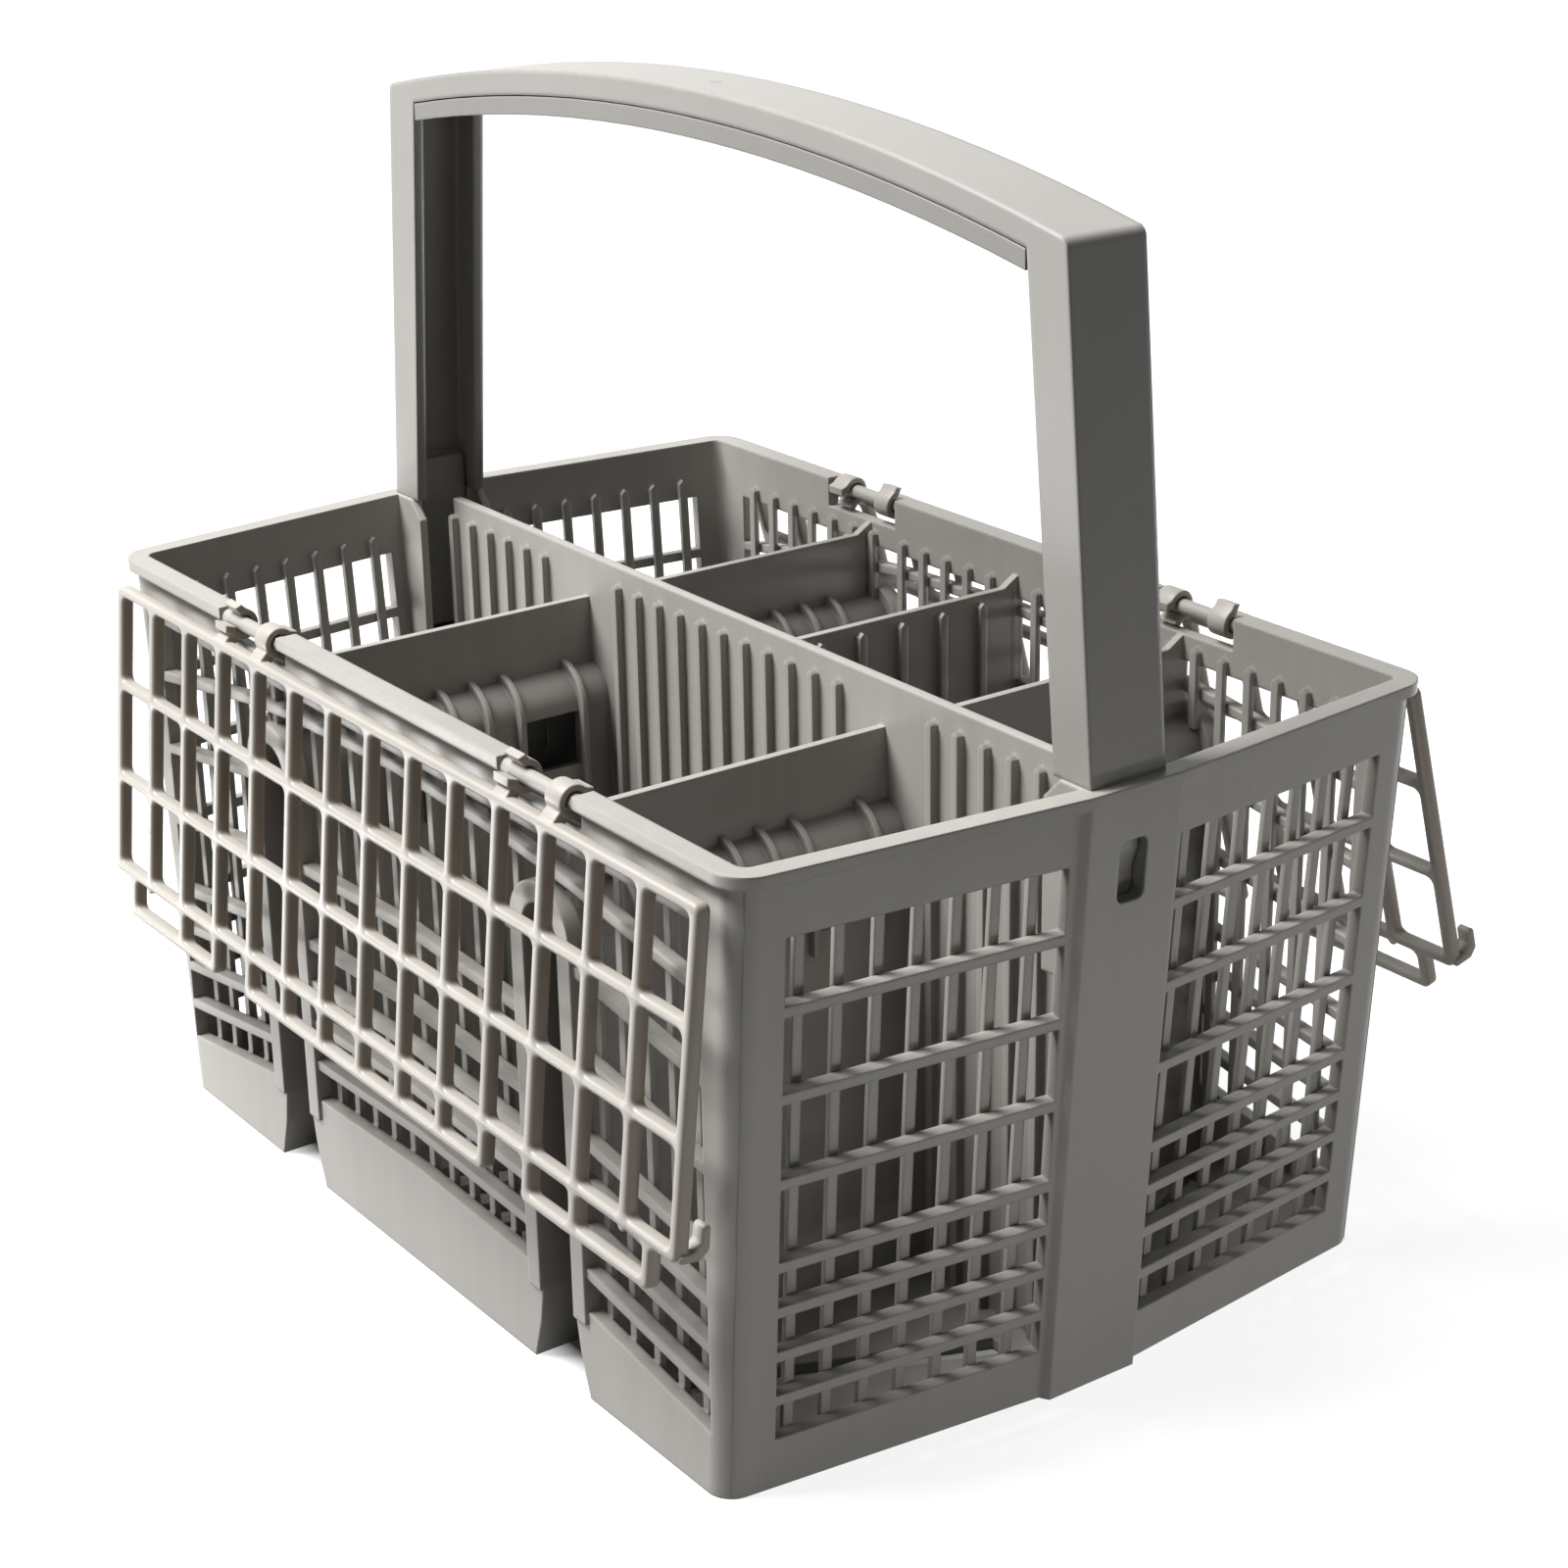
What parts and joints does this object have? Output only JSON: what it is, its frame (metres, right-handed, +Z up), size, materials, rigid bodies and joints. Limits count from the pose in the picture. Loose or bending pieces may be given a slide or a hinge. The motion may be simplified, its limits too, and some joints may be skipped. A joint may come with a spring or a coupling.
{
  "type": "dishwasher cutlery basket",
  "caption": "Open lattice plastic cutlery basket with a bow handle, inside compartments, rack channels underneath and hinged grid lids.",
  "frame": {"origin": "under the middle of the basket, on the plane that it stands on", "axes": "+X along the basket's length, +Y across it towards the back, +Z up"},
  "size_m": [0.238, 0.1877, 0.2208],
  "materials": {
    "grey_plastic": "satin"
  },
  "bodies": {
    "basket": {"basket_body": "grey_plastic", "handle": "grey_plastic", "grip_insert": "grey_plastic"},
    "front_lid": {"front_lid": "grey_plastic"},
    "rear_lid": {"rear_lid": "grey_plastic"}
  },
  "joints": [
    {"name": "front_lid_hinge", "type": "hinge", "parent": "basket", "child": "front_lid", "pos_m": [0, -0.0752, 0.117], "axis": [-1, 0, 0], "range_deg": [0, 260.8]},
    {"name": "rear_lid_hinge", "type": "hinge", "parent": "basket", "child": "rear_lid", "pos_m": [0, 0.0752, 0.117], "axis": [1, 0, 0], "range_deg": [0, 251.8]}
  ]
}
